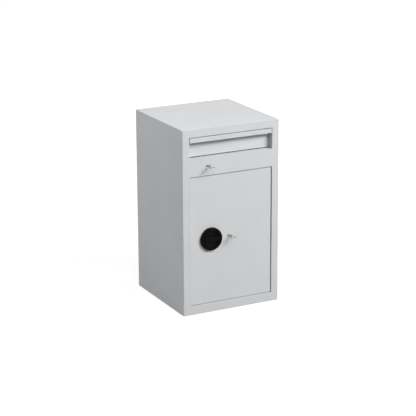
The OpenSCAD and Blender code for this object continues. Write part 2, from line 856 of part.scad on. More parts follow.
module flap_guide_pins() {
    color(steel) hang() both_sides()
        bar_x(guide_pin_r, flap_hw - flap_rib_t, open_hw - guide_tip_gap, guide_u, 0);
}

// Door

module door_plate() {
    color(shell_grey) difference() {
        block(-door_hw, door_hw, door_face, door_rear, door_z0, door_z1);
        bar_y(spindle_bush_r, door_face - eps, door_rear + eps, knob_x, handle_z);
        keyhole(door_lock_x, handle_z, door_face - eps, door_rear + eps);
        for (s = [-1, 1]) bar_y(rosette_screw_r, door_face - eps, door_rear + eps, knob_x,
            handle_z + s * rosette_screw_c);
        lock_screw_places(door_lock_x, handle_z, -1)
            bar_y(lock_screw_r, door_rear - door_t * lock_screw_depth, door_rear + eps, 0, 0);
    }
}

module door_pan() {
    color(shell_grey) difference() {
        block(pan_x0, pan_x1, door_rear, pan_rear, pan_z0, pan_z1);
        block(pan_x0 + pan_t, pan_x1 - pan_t, door_rear - eps, pan_rear + eps,
            pan_z0 + pan_t, pan_z1 - pan_t);
        for (z = bolt_zs) bar_x(bolt_bush_r, pan_x0 - eps, pan_x0 + pan_t + eps, bolt_y, z);
    }
}

module post_places() {
    for (x = post_xs) for (z = post_zs) translate([x, 0, z]) children();
}

module door_cover() {
    color(inner_grey) difference() {
        block(pan_x0, pan_x1, pan_rear, pan_rear + pan_t, pan_z0, pan_z1);
        post_places() bar_y(cover_screw_r, pan_rear - eps, pan_rear + pan_t + eps, 0, 0);
    }
}

module cover_posts() {
    color(zinc) post_places() difference() {
        bar_y(post_r, door_rear, pan_rear, 0, 0);
        bar_y(cover_screw_r, pan_rear - cover_screw_l, pan_rear + eps, 0, 0);
    }
}

module cover_screws() {
    color(steel) post_places() {
        bar_y(cover_screw_r, pan_rear - cover_screw_l, pan_rear + pan_t, 0, 0);
        bar_y(cover_screw_r + screw_head_w, pan_rear + pan_t, pan_rear + pan_t + screw_head_t, 0, 0);
    }
}

module hinge_blocks() {
    color(zinc) difference() {
        union() {
            block(hinge_x - block_hw, hinge_x + block_hw, door_rear, hinge_y + block_hw,
                door_z0, door_z0 + hinge_block_h);
            block(hinge_x - block_hw, hinge_x + block_hw, door_rear, hinge_y + block_hw,
                door_z1 - hinge_block_h, door_z1);
        }
        bar_z(hinge_pin_r, 0, body_h, hinge_x, hinge_y);
    }
}

module hinge_pins() {
    color(steel) {
        bar_z(hinge_pin_r, door_sill - return_t - pin_overrun, door_z0 + hinge_block_h, hinge_x, hinge_y);
        bar_z(hinge_pin_r, door_z1 - hinge_block_h, door_head + return_t + pin_overrun, hinge_x, hinge_y);
    }
}

module bolt_bushes() {
    color(brass) for (z = bolt_zs) difference() {
        union() {
            bar_x(bolt_bush_r, pan_x0, pan_x0 + bolt_bush_l, bolt_y, z);
            bar_x(bolt_bush_r + bolt_collar, pan_x0 - bolt_collar, pan_x0, bolt_y, z);
        }
        bar_x(bolt_r + run_gap, pan_x0 - bolt_collar - eps, pan_x0 + bolt_bush_l + eps, bolt_y, z);
    }
}

// Shouldered posts that carry the bolt bar and let it slide
module bar_guides() {
    color(steel) for (z = guide_zs) {
        bar_y(guide_post_r + guide_head_w, door_rear, bar_y0 - air, guide_x, z);
        bar_y(guide_post_r, bar_y0 - air, bar_y1 + air, guide_x, z);
        bar_y(guide_post_r + guide_head_w, bar_y1 + air, bar_y1 + air + screw_head_t, guide_x, z);
    }
}

module door_lock_case() {
    lock_case(door_lock_x, handle_z, -1, door_rear, door_case_y1, door_lock_bolt_y);
}
module door_lock_cover() {
    lock_cover(door_lock_x, handle_z, -1, door_case_y1);
}
module door_lock_screws() {
    lock_screws(door_lock_x, handle_z, -1, door_rear - door_t * lock_screw_depth, door_case_y1);
}
module door_levers() {
    levers(door_lock_x, handle_z, door_lever_y);
}
module door_escutcheon() {
    escutcheon(door_lock_x, handle_z, door_face);
}
module door_lock_bolt() {
    lock_bolt(door_lock_x, handle_z, -1, door_lock_bolt_y);
}
module door_key() {
    key(door_lock_x, handle_z, door_face, door_case_y1, door_lever_y, door_lock_bolt_y - bit_gap);
}

// Boltwork

module bolt_bar() {
    arm_x1 = pin_rest_x + crank_pin_r + bar_edge;
    color(zinc) difference() {
        union() {
            block(bar_x0, bar_x1, bar_y0, bar_y1, bar_z0, bar_z1);
            for (z = guide_zs) block(bar_x1, guide_x + bolt_stroke + guide_tab_hw, bar_y0, bar_y1,
                z - guide_tab_hw, z + guide_tab_hw);
            block(bar_x1, arm_x1, bar_y0, bar_y1, handle_z - crank_r - crank_pin_r - bar_edge,
                pin_rest_z + bar_edge);
            block(bar_x1, door_lock_x + notch_hw + bolt_stroke + bar_edge, bar_y0, bar_y1,
                tail_z0, tail_z1);
        }
        for (z = guide_zs) guide_slot(z);
        crank_slot();
        for (dx = [0, bolt_stroke]) block(door_lock_x + dx - notch_hw, door_lock_x + dx + notch_hw,
            bar_y0 - eps, bar_y1 + eps, tail_z1 - notch_depth, tail_z1 + eps);
        for (z = bolt_zs) bar_y(bolt_screw_r, bar_y0 - eps, bar_y1 + eps, bar_mid_x, z);
    }
}

// Level slot: the bar slides left by its stroke while the post stays
module guide_slot(z) {
    r = guide_post_r + air;
    for (x = [guide_x, guide_x + bolt_stroke]) bar_y(r, bar_y0 - eps, bar_y1 + eps, x, z);
    block(guide_x, guide_x + bolt_stroke, bar_y0 - eps, bar_y1 + eps, z - r, z + r);
}

// Upright slot in which the crank pin swings down and up again
module crank_slot() {
    r = crank_pin_r + slot_gap;
    low = handle_z - crank_r - slot_gap;
    for (z = [low, pin_rest_z + slot_gap]) bar_y(r, bar_y0 - eps, bar_y1 + eps, pin_rest_x, z);
    block(pin_rest_x - r, pin_rest_x + r, bar_y0 - eps, bar_y1 + eps, low, pin_rest_z + slot_gap);
}

// Round bolts, each with a flat that seats on the bar
module door_bolts() {
    color(nickel) for (z = bolt_zs) difference() {
        bar_x(bolt_r, -door_hw, bar_x1, bolt_y, z);
        block(bar_x0 - bolt_flat_gap, bar_x1 + eps, bolt_y - bolt_r - eps, bar_y1,
            z - bolt_r - eps, z + bolt_r + eps);
        bar_y(bolt_screw_r, bar_y1 - eps, bar_y1 + bolt_screw_l, bar_mid_x, z);
    }
}

module bolt_screws() {
    color(steel) for (z = bolt_zs) {
        bar_y(bolt_screw_r, bar_y0, bar_y1 + bolt_screw_l, bar_mid_x, z);
        bar_y(bolt_screw_r + screw_head_w, bar_y0 - screw_head_t, bar_y0, bar_mid_x, z);
    }
}

// Handle

module rosette() {
    inner = rosette_r - rosette_ring;
    rim = 3;
    lip = 1.5;
    color(black) difference() {
        turned(door_face, knob_x, handle_z, concat(
            [[inner, 0], [rosette_r, 0]],
            quarter(rosette_r - rim, rosette_h - rim, rim, 0, 90),
            quarter(inner + lip, rosette_h - lip, lip, 90, 180)));
        for (s = [-1, 1]) bar_y(rosette_screw_r, door_face - rosette_screw_l, door_face + eps, knob_x,
            handle_z + s * rosette_screw_c);
    }
}

module rosette_screws() {
    color(steel) for (s = [-1, 1]) {
        bar_y(rosette_screw_r, door_face - rosette_screw_l, door_rear, knob_x,
            handle_z + s * rosette_screw_c);
        bar_y(rosette_screw_r + screw_head_w, door_rear, door_rear + screw_head_t, knob_x,
            handle_z + s * rosette_screw_c);
    }
}

module spindle_bush() {
    color(brass) difference() {
        union() {
            bar_y(spindle_bush_r, door_face, door_rear, knob_x, handle_z);
            bar_y(spindle_bush_r + spindle_collar, door_rear, crank_y0 - air, knob_x, handle_z);
        }
        bar_y(spindle_r + run_gap, door_face - eps, crank_y0, knob_x, handle_z);
    }
}

// Rotary handle: a dish with a raised rim and a grip bar across it
module knob() {
    rim_w = 3.6;
    rim_soft = 1;
    rim_h = rosette_h - 2 * dish_lift;
    floor_h = dish_floor_t;
    foot = 3;
    color(black) difference() {
        union() {
            turned(dish_y, knob_x, handle_z, concat(
                [[0, 0], [dish_r, 0]],
                quarter(dish_r - rim_soft, rim_h - rim_soft, rim_soft, 0, 90),
                quarter(dish_r - rim_w + rim_soft, rim_h - rim_soft, rim_soft, 90, 180, 3),
                [[dish_r - rim_w, floor_h + foot], [dish_r - rim_w - foot, floor_h], [0, floor_h]]));
            intersection() {
                bar_y(dish_r - rim_w / 2, grip_top_y, dish_y, knob_x, handle_z);
                grip_bar();
            }
        }
        bar_y(spindle_r, dish_y - floor_h - spindle_seat, dish_y + eps, knob_x, handle_z);
    }
}

// Cross-section of the grip: narrower at the top, with softened edges
module grip_bar() {
    foot_hw = grip_w / 2;
    top_hw = foot_hw - grip_draft;
    h = dish_y - grip_top_y;
    soft = 1.5;
    translate([knob_x - dish_r, dish_y, handle_z]) rotate([90, 0, 90]) linear_extrude(2 * dish_r)
        polygon([[0, -foot_hw], [-h + soft, -top_hw], [-h, -top_hw + soft],
            [-h, top_hw - soft], [-h + soft, top_hw], [0, foot_hw]]);
}

module knob_crank() {
    color(steel) {
        bar_y(spindle_r, dish_y - dish_floor_t - spindle_seat, crank_y1, knob_x, handle_z);
        bar_y(crank_disc_r, crank_y0, crank_y1, knob_x, handle_z);
        bar_y(crank_pin_r, crank_y1, bar_y1 + pin_overrun, pin_rest_x, pin_rest_z);
    }
}

outer_shell();
back_panel();
base_plate();
front_frame();
mirror([1, 0, 0]) side_liner();  // liner_left
side_liner();  // liner_right
liner_back();
liner_top();
liner_floor();
floor_sleeves();
wall_sleeves();
bolt_keeper();
hinge_bushes();
mirror([1, 0, 0]) rail();  // rail_left
rail();  // rail_right
rail_stops();
flap_tracks();
drawer_lock_case();
drawer_lock_cover();
drawer_lock_screws();
drawer_escutcheon();
drawer_levers();
drawer_lock_bolt();
drawer_key();
drawer_front();
mirror([1, 0, 0]) drawer_side();  // drawer_side_left
drawer_side();  // drawer_side_right
drawer_back();
drawer_ledge();
drawer_keeper();
mirror([1, 0, 0]) runner();  // runner_left
runner();  // runner_right
runner_glides();
flap_rod();
drop_flap();
flap_guide_pins();
door_plate();
door_pan();
door_cover();
cover_posts();
cover_screws();
hinge_blocks();
hinge_pins();
bolt_bushes();
bar_guides();
door_lock_case();
door_lock_cover();
door_lock_screws();
door_levers();
door_escutcheon();
rosette();
rosette_screws();
spindle_bush();
bolt_bar();
door_bolts();
bolt_screws();
knob();
knob_crank();
door_lock_bolt();
door_key();
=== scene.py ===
"""Looks of a floor-standing deposit safe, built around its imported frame, in metres.
+X is to the right, -Y towards the user and +Z up. Each piece rides on the body that carries it."""
import json
import math

import bmesh
import bpy
from mathutils import Matrix, Vector


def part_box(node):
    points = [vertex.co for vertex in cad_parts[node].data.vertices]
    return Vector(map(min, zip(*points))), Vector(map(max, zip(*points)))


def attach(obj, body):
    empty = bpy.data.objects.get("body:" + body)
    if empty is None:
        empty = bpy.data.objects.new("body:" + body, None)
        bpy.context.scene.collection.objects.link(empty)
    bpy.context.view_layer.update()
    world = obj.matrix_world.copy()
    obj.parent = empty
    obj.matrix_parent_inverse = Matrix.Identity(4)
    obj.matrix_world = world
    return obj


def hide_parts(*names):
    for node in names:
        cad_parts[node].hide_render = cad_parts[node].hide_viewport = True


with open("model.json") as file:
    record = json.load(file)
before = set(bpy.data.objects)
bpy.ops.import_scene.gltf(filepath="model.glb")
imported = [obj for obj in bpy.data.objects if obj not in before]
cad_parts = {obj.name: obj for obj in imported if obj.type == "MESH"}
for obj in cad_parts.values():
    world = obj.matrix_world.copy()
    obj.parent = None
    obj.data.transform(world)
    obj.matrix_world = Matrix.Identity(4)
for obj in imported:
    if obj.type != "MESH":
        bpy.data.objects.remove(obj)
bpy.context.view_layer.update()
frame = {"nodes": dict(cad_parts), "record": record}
MM = 0.001
BODY_OF = {n: body for body, nodes in frame["record"]["behaviour"]["bodies"].items() for n in nodes}
SLOT_OF = {part["node"]: part["material_slot"] for part in frame["record"]["subparts"]}

# Camera

CAMERA_PLACE = (-2.9043, -5.6606, 2.2742)
CAMERA_YAW = 27.21
CAMERA_PITCH = 16.54
CAMERA_ROLL = -0.29
CAMERA_LENS = 133.27
SENSOR_WIDTH = 36
CLIP_NEAR = 0.1
CLIP_FAR = 100


def make_camera():
    data = bpy.data.cameras.new("photo_camera")
    data.lens = CAMERA_LENS
    data.sensor_width = SENSOR_WIDTH
    data.clip_start = CLIP_NEAR
    data.clip_end = CLIP_FAR
    camera = bpy.data.objects.new("photo_camera", data)
    camera.location = CAMERA_PLACE
    turn = Matrix.Rotation(math.radians(-CAMERA_YAW), 3, "Z")
    turn @= Matrix.Rotation(math.radians(90 - CAMERA_PITCH), 3, "X")
    turn @= Matrix.Rotation(math.radians(CAMERA_ROLL), 3, "Z")
    camera.rotation_euler = turn.to_euler()
    bpy.context.scene.collection.objects.link(camera)
    bpy.context.scene.camera = camera


# Material nodes


def new_material(name):
    material = bpy.data.materials.new(name)
    material.use_nodes = True
    nodes, links = material.node_tree.nodes, material.node_tree.links
    shader = nodes["Principled BSDF"]
    place = nodes.new("ShaderNodeTexCoord").outputs["Object"]
    return material, nodes, links, shader, place


def stretched(nodes, links, place, scale):
    mapping = nodes.new("ShaderNodeMapping")
    mapping.inputs["Scale"].default_value = scale
    links.new(place, mapping.inputs["Vector"])
    return mapping.outputs["Vector"]


def noise(nodes, links, place, scale, detail=2, rough=0.5):
    node = nodes.new("ShaderNodeTexNoise")
    node.inputs["Scale"].default_value = scale
    node.inputs["Detail"].default_value = detail
    node.inputs["Roughness"].default_value = rough
    links.new(place, node.inputs["Vector"])
    return node.outputs["Fac"]


def spread(nodes, links, value, low, high, start=0.3, end=0.7):
    """A noise value, spread over the range from low to high."""
    node = nodes.new("ShaderNodeMapRange")
    node.inputs["From Min"].default_value = start
    node.inputs["From Max"].default_value = end
    node.inputs["To Min"].default_value = low
    node.inputs["To Max"].default_value = high
    links.new(value, node.inputs["Value"])
    return node.outputs["Result"]


def tinted(nodes, links, value, dark, light):
    """A colour between two, by a value from 0 to 1."""
    node = nodes.new("ShaderNodeMix")
    node.data_type = "RGBA"
    links.new(value, node.inputs["Factor"])
    node.inputs["A"].default_value = (*dark, 1)
    node.inputs["B"].default_value = (*light, 1)
    return node.outputs["Result"]


def bumped(nodes, links, shader, height, distance):
    node = nodes.new("ShaderNodeBump")
    node.inputs["Distance"].default_value = distance
    links.new(height, node.inputs["Height"])
    links.new(node.outputs["Normal"], shader.inputs["Normal"])


def shades(colour, factors):
    """A colour's darker and lighter tones, by two factors."""
    return [tuple(channel * factor for channel in colour) for factor in factors]


def around(nodes, links, value, middle, change):
    """A noise value, spread to either side of a middle."""
    return spread(nodes, links, value, middle - change, middle + change)


# Powder coat: clouds in its tone, patches in its gloss, and the orange peel. Scales are per metre.
PAINT_GLOSS = 0.06
PAINT_CLOUDS = 9
PAINT_TONES = (0.985, 1.015)
PAINT_PATCHES = 60
PAINT_PATCH_CHANGE = 0.04
PEEL_SCALE = 700
PEEL_DEPTH = 0.03 * MM

# Metal: fine scratches along the grain, clouds in its tone, and zinc's spangle
SCRATCH_SCALE = 900
SCRATCH_ROUGH = 0.6
SCRATCH_DEPTH = 0.012 * MM
SCRATCH_CHANGE = 0.06
METAL_CLOUDS = 50
METAL_TONES = (0.93, 1.04)
SPANGLE_SCALE = 160
SPANGLE_REACH = 0.9

# Plastic and rubber: clouds in the tone, patches in the gloss, and an eroded grain
PLASTIC_CLOUDS = 40
PLASTIC_TONES = (0.9, 1.1)
PLASTIC_PATCHES = 300
PLASTIC_PATCH_CHANGE = 0.05
GRAIN_SCALE = 1400
GRAIN_DEPTH = 0.03 * MM


def powder_coat(name, colour, roughness=0.58):
    """Satin powder coat: a fine orange peel and very faint clouds in its tone and gloss."""
    material, nodes, links, shader, place = new_material(name)
    shader.inputs["Specular IOR Level"].default_value = PAINT_GLOSS
    clouds = spread(nodes, links, noise(nodes, links, place, PAINT_CLOUDS, detail=3), 0, 1)
    links.new(tinted(nodes, links, clouds, *shades(colour, PAINT_TONES)), shader.inputs["Base Color"])
    patches = noise(nodes, links, place, PAINT_PATCHES, detail=3)
    links.new(around(nodes, links, patches, roughness, PAINT_PATCH_CHANGE), shader.inputs["Roughness"])
    bumped(nodes, links, shader, noise(nodes, links, place, PEEL_SCALE), PEEL_DEPTH)
    return material


def plated(name, colour, roughness, grain=(1, 1, 1), spangle=False):
    """Plated or turned metal. grain stretches its fine scratches along one axis."""
    material, nodes, links, shader, place = new_material(name)
    shader.inputs["Metallic"].default_value = 1
    along = stretched(nodes, links, place, grain)
    lines = noise(nodes, links, along, SCRATCH_SCALE, detail=4, rough=SCRATCH_ROUGH)
    if spangle:
        cells = nodes.new("ShaderNodeTexVoronoi")
        cells.inputs["Scale"].default_value = SPANGLE_SCALE
        links.new(place, cells.inputs["Vector"])
        tone = spread(nodes, links, cells.outputs["Distance"], 0, 1, 0, SPANGLE_REACH)
    else:
        tone = spread(nodes, links, noise(nodes, links, place, METAL_CLOUDS, detail=3), 0, 1)
    links.new(tinted(nodes, links, tone, *shades(colour, METAL_TONES)), shader.inputs["Base Color"])
    links.new(around(nodes, links, lines, roughness, SCRATCH_CHANGE), shader.inputs["Roughness"])
    bumped(nodes, links, shader, lines, SCRATCH_DEPTH)
    return material


def moulded(name, colour, roughness, specular=0.5):
    """Moulded plastic or rubber with a fine eroded grain."""
    material, nodes, links, shader, place = new_material(name)
    shader.inputs["Specular IOR Level"].default_value = specular
    clouds = spread(nodes, links, noise(nodes, links, place, PLASTIC_CLOUDS), 0, 1)
    links.new(tinted(nodes, links, clouds, *shades(colour, PLASTIC_TONES)), shader.inputs["Base Color"])
    patches = noise(nodes, links, place, PLASTIC_PATCHES, detail=3)
    links.new(around(nodes, links, patches, roughness, PLASTIC_PATCH_CHANGE), shader.inputs["Roughness"])
    bumped(nodes, links, shader, noise(nodes, links, place, GRAIN_SCALE, detail=3), GRAIN_DEPTH)
    return material


PAINT_GREY = (0.640, 0.650, 0.662)
INNER_GREY = (0.550, 0.560, 0.575)
ALONG_Y = (1, 0.1, 1)
MATERIALS = {
    "cabinet_paint": powder_coat("cabinet_paint", PAINT_GREY),
    "door_paint": powder_coat("door_paint", PAINT_GREY),
    "drawer_paint": powder_coat("drawer_paint", PAINT_GREY),
    "inner_paint": powder_coat("inner_paint", INNER_GREY, 0.6),
    "zinc_plate": plated("zinc_plate", (0.62, 0.64, 0.66), 0.40, spangle=True),
    "bright_steel": plated("bright_steel", (0.58, 0.58, 0.59), 0.28, ALONG_Y),
    "nickel": plated("nickel", (0.41, 0.41, 0.40), 0.28, ALONG_Y),
    "brass": plated("brass", (0.42, 0.34, 0.20), 0.42, ALONG_Y),
    "black_plastic": moulded("black_plastic", (0.0030, 0.0030, 0.0034), 0.30, specular=0.055),
    "rubber_stop": moulded("rubber_stop", (0.03, 0.03, 0.03), 0.7),
    "nylon": moulded("nylon", (0.80, 0.80, 0.76), 0.45),
}

# Mesh helpers

WELD = 1e-6
FINE_STEPS = 128
BOW_STEPS = 96
SMALL_STEPS = 48
FLAT_ANGLE = math.radians(0.5)
CORNER_ANGLE = math.radians(25)
SHARP_ANGLE = math.radians(30)


def smooth_mesh(piece):
    """Smooth shading on the round parts, with flat faces left flat."""
    piece.data.shade_smooth()
    piece.data.set_sharp_from_angle(angle=SHARP_ANGLE)
    weighted = piece.modifiers.new("weighted_normals", "WEIGHTED_NORMAL")
    weighted.keep_sharp = True


def finish_piece(name, bm, node):
    """Makes a bmesh into a piece that stands for a CAD node, on its body and in its finish."""
    bmesh.ops.recalc_face_normals(bm, faces=bm.faces)
    mesh = bpy.data.meshes.new(name)
    bm.to_mesh(mesh)
    bm.free()
    piece = bpy.data.objects.new(name, mesh)
    bpy.context.scene.collection.objects.link(piece)
    mesh.materials.append(MATERIALS[SLOT_OF[node]])
    smooth_mesh(piece)
    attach(piece, BODY_OF[node])
    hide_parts(node)


def solid_of(node):
    """A bmesh of a CAD node, with the triangles of each flat face joined."""
    bm = bmesh.new()
    bm.from_mesh(frame["nodes"][node].data)
    bmesh.ops.remove_doubles(bm, verts=bm.verts, dist=WELD)
    bmesh.ops.dissolve_limit(bm, angle_limit=FLAT_ANGLE, verts=bm.verts, edges=bm.edges)
    return bm


def is_corner(edge):
    return len(edge.link_faces) == 2 and edge.calc_face_angle(0) > CORNER_ANGLE


def bevel(bm, edges, width, segments):
    bmesh.ops.bevel(bm, geom=edges, offset=width, offset_type="OFFSET", segments=segments,
                    profile=0.5, affect="EDGES", clamp_overlap=True)


def round_edges(bm, width, wanted=None, segments=2):
    """Rounds the corners of a bmesh, or those for which wanted(middle, direction) is true."""
    edges = []
    for edge in bm.edges:
        a, b = edge.verts[0].co, edge.verts[1].co
        if is_corner(edge) and (wanted is None or wanted((a + b) / 2, (b - a).normalized())):
            edges.append(edge)
    bevel(bm, edges, width, segments)


def softened(node, width=0.4 * MM):
    """A CAD node with its cut edges taken off."""
    bm = solid_of(node)
    round_edges(bm, width)
    finish_piece(node + "_softened", bm, node)


def ring_radius(radius, corners, angle):
    """Distance to the outline at an angle: a circle, or a polygon with that many corners."""
    if not corners:
        return radius
    half = math.pi / corners
    return radius * math.cos(half) / math.cos((angle + half) % (2 * half) - half)


def add_lathe(bm, centre, profile, axis=Vector((0, -1, 0)), steps=FINE_STEPS, closed=False):
    """Adds a turned shape. profile holds (radius, height) or (radius, height, corners) rings along
    axis from centre. A ring of radius 0 is a point. A closed profile joins its end to its start."""
    turn = Vector((0, 0, 1)).rotation_difference(axis)
    rings = []
    for radius, height, *corners in profile:
        if radius == 0:
            rings.append([bm.verts.new(Vector(centre) + turn @ Vector((0, 0, height)))])
            continue
        ring = []
        for k in range(steps):
            angle = 2 * math.pi * k / steps
            r = ring_radius(radius, corners[0] if corners else 0, angle)
            point = Vector((r * math.cos(angle), r * math.sin(angle), height))
            ring.append(bm.verts.new(Vector(centre) + turn @ point))
        rings.append(ring)
    pairs = list(zip(rings, rings[1:]))
    if closed:
        pairs.append((rings[-1], rings[0]))
    for low, high in pairs:
        for k in range(steps):
            corners = [low[k % len(low)], low[(k + 1) % len(low)],
                       high[(k + 1) % len(high)], high[k % len(high)]]
            bm.faces.new(list(dict.fromkeys(corners)))


def arc(cx, cy, r, start, end, steps=5):
    """Points of an arc for a profile, by angles in degrees."""
    angles = [math.radians(start + (end - start) * i / steps) for i in range(steps + 1)]
    return [(cx + r * math.cos(a), cy + r * math.sin(a)) for a in angles]


def add_extrusion(bm, outline, start, end, place):
    """Adds a prism: place(u, v, w) puts outline's points (u, v) at each end w."""
    ends = [[bm.verts.new(place(u, v, w)) for u, v in outline] for w in (start, end)]
    count = len(outline)
    for k in range(count):
        n = (k + 1) % count
        bm.faces.new((ends[0][k], ends[0][n], ends[1][n], ends[1][k]))
    bm.faces.new(ends[0])
    bm.faces.new(ends[1][::-1])


def add_box(bm, low, high, width=0.3 * MM):
    """Adds a box with softened edges between two corners."""
    made = bmesh.ops.create_cube(bm, size=1)["verts"]
    for vert in made:
        vert.co = Vector(h if c > 0 else l for l, h, c in zip(low, high, vert.co))
    bevel(bm, list({edge for vert in made for edge in vert.link_edges}), width, 2)


def islands(node):
    """The box of each separate solid of a CAD node, from low to high."""
    bm = bmesh.new()
    bm.from_mesh(frame["nodes"][node].data)
    bmesh.ops.remove_doubles(bm, verts=bm.verts, dist=WELD)
    left, boxes = set(bm.verts), []
    while left:
        found, front = set(), [left.pop()]
        while front:
            vert = front.pop()
            found.add(vert)
            for edge in vert.link_edges:
                other = edge.other_vert(vert)
                if other in left:
                    left.remove(other)
                    front.append(other)
        low = Vector(min(v.co[i] for v in found) for i in range(3))
        high = Vector(max(v.co[i] for v in found) for i in range(3))
        boxes.append((low, high))
    bm.free()
    return sorted(boxes, key=lambda box: tuple(round(c, 5) for c in box[0]))


# Cabinet. The AT_ values say how near to a side an edge counts as lying at it.

BEND_R = 2.5 * MM
RIM_R = 1.8 * MM
OPENING_R = 0.5 * MM
FLANGE_R = 0.5 * MM
BACK_R = 0.6 * MM
AT_EDGE = 0.1 * MM
AT_FOLD = 1 * MM
AT_RIM = 3 * MM
FACE_DEPTH = 10 * MM
ALONG = 0.99


def cabinet_skin():
    _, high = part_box("outer_shell")
    bm = solid_of("outer_shell")

    def folds(middle, direction):
        at_side = abs(abs(middle.x) - high.x) < AT_FOLD
        return abs(direction.y) > ALONG and at_side and middle.z > high.z - AT_FOLD

    def back_edge(middle, direction):
        return middle.y > high.y - AT_EDGE

    round_edges(bm, BEND_R, folds, 5)
    round_edges(bm, BACK_R, back_edge, 3)
    finish_piece("cabinet_skin", bm, "outer_shell")


def front_frame():
    low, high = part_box("front_frame")
    bm = solid_of("front_frame")

    def folds(middle, direction):
        at_side = abs(abs(middle.x) - high.x) < AT_EDGE
        return abs(direction.y) > ALONG and at_side and middle.z > high.z - AT_EDGE

    def is_rim(middle, direction):
        at_side = abs(abs(middle.x) - high.x) < AT_RIM
        return middle.y < low.y + AT_EDGE and (at_side or middle.z > high.z - AT_RIM or middle.z < AT_RIM)

    def opening_edge(middle, direction):
        return middle.y < low.y + AT_EDGE and not is_rim(middle, direction)

    def flange_edge(middle, direction):
        return middle.y > low.y + FACE_DEPTH

    round_edges(bm, BEND_R, folds, 5)
    round_edges(bm, RIM_R, is_rim, 4)
    round_edges(bm, OPENING_R, opening_edge, 4)
    round_edges(bm, FLANGE_R, flange_edge)
    finish_piece("frame_front", bm, "front_frame")


# Drawer. LUG_SPREAD is the outer lugs' share of the rod's half length.

SHEET_T = 2 * MM
SHEET_BEND_R = 2.4 * MM
SHEET_EDGE = 0.4 * MM
STRIP_H = 19.5 * MM
PANEL_SETBACK = 29 * MM
LUG_HALF_W = 4 * MM
LUG_BELOW = 6 * MM
LUG_ABOVE = 5.5 * MM
LUG_PAST_ROD = 4 * MM
LUG_SPREAD = 0.86


def front_outline(low, high):
    """Section of the drawer's bent front: panel, top and pull strip, as points (y, z)."""
    inner = SHEET_BEND_R - SHEET_T
    panel_rear = low.y + PANEL_SETBACK
    panel_front = panel_rear - SHEET_T
    bend_z = high.z - SHEET_BEND_R
    strip_foot = high.z - STRIP_H
    outline = [(panel_rear, low.z + SHEET_EDGE)]
    outline += arc(panel_rear - SHEET_BEND_R, bend_z, SHEET_BEND_R, 0, 90)
    outline += arc(low.y + SHEET_BEND_R, bend_z, SHEET_BEND_R, 90, 180)
    outline += arc(low.y + SHEET_T / 2, strip_foot + SHEET_T / 2, SHEET_T / 2, 180, 360, 8)
    outline += arc(low.y + SHEET_BEND_R, bend_z, inner, 180, 90)
    outline += arc(panel_rear - SHEET_BEND_R, bend_z, inner, 90, 0)
    outline += [(panel_front, low.z + SHEET_EDGE), (panel_front + SHEET_EDGE, low.z),
                (panel_rear - SHEET_EDGE, low.z)]
    return outline


def drawer_front():
    """The drawer's bent front, with the lugs that hold the flap's rod."""
    low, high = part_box("drawer_front")
    bm = bmesh.new()
    add_extrusion(bm, front_outline(low, high), low.x, high.x, lambda y, z, x: Vector((x, y, z)))
    rod_low, rod_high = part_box("flap_rod")
    rod_y, rod_z = (rod_low.y + rod_high.y) / 2, (rod_low.z + rod_high.z) / 2
    lug_x = (rod_high.x - rod_low.x) / 2 * LUG_SPREAD
    for x in (-lug_x, 0, lug_x):
        add_box(bm, (x - LUG_HALF_W, low.y + PANEL_SETBACK, rod_z - LUG_BELOW),
                (x + LUG_HALF_W, rod_y + LUG_PAST_ROD, rod_z + LUG_ABOVE))
    finish_piece("drawer_front_sheet", bm, "drawer_front")


# Locks and keys. Heights on a stem run from the bow to the tip.

PLATE_EDGE = 0.25 * MM
BOW_R = 12 * MM
BOW_HOLE_R = 7 * MM
BOW_HALF_T = 1.5 * MM
BOW_SOFT = 1.2 * MM
STEM_R = 3 * MM
STEM_IN_BOW = 1.5 * MM
STEM_GROOVE_R = 2.6 * MM
STEM_TIP_R = 2.2 * MM
STEM_TIP = 1.2 * MM
STEM_NECK = [(1.6 * MM, 0), (2.2 * MM, 0.6 * MM), (2.4 * MM, 3 * MM), (2.9 * MM, 4.2 * MM)]
STEM_COLLAR = (5 * MM, 8 * MM)
STEM_GROOVE = (8.4 * MM, 9.4 * MM)
STEM_BODY = 9.8 * MM
BIT_R = 10 * MM
BIT_W = 6 * MM
BIT_HALF_T = 1.1 * MM
BIT_FROM_TIP = 13.5 * MM
BIT_ROOT = 0.6 * MM


def escutcheon(node, name):
    """Keyhole plate: the CAD plate with its keyhole, its cut edges softened."""
    bm = solid_of(node)
    round_edges(bm, PLATE_EDGE)
    finish_piece(name, bm, node)


def bow_section():
    """Closed section of a key's bow: a flat bar with soft corners, as points (radius, height)."""
    corners = [(BOW_R - BOW_SOFT, BOW_HALF_T - BOW_SOFT), (BOW_HOLE_R + BOW_SOFT, BOW_HALF_T - BOW_SOFT),
               (BOW_HOLE_R + BOW_SOFT, BOW_SOFT - BOW_HALF_T), (BOW_R - BOW_SOFT, BOW_SOFT - BOW_HALF_T)]
    section = []
    for quarter, (radius, height) in enumerate(corners):
        section += arc(radius, height, BOW_SOFT, 90 * quarter, 90 * quarter + 90, 4)
    return section


def stem_profile(length):
    """Profile of a key's stem from the bow to the tip: a neck, a collar, a groove and the body."""
    profile = [(0, 0)] + STEM_NECK + [(STEM_R, height) for height in STEM_COLLAR]
    profile += [(STEM_GROOVE_R, height) for height in STEM_GROOVE]
    profile += [(STEM_R, STEM_BODY), (STEM_R, length - STEM_TIP), (STEM_TIP_R, length), (0, length)]
    return profile


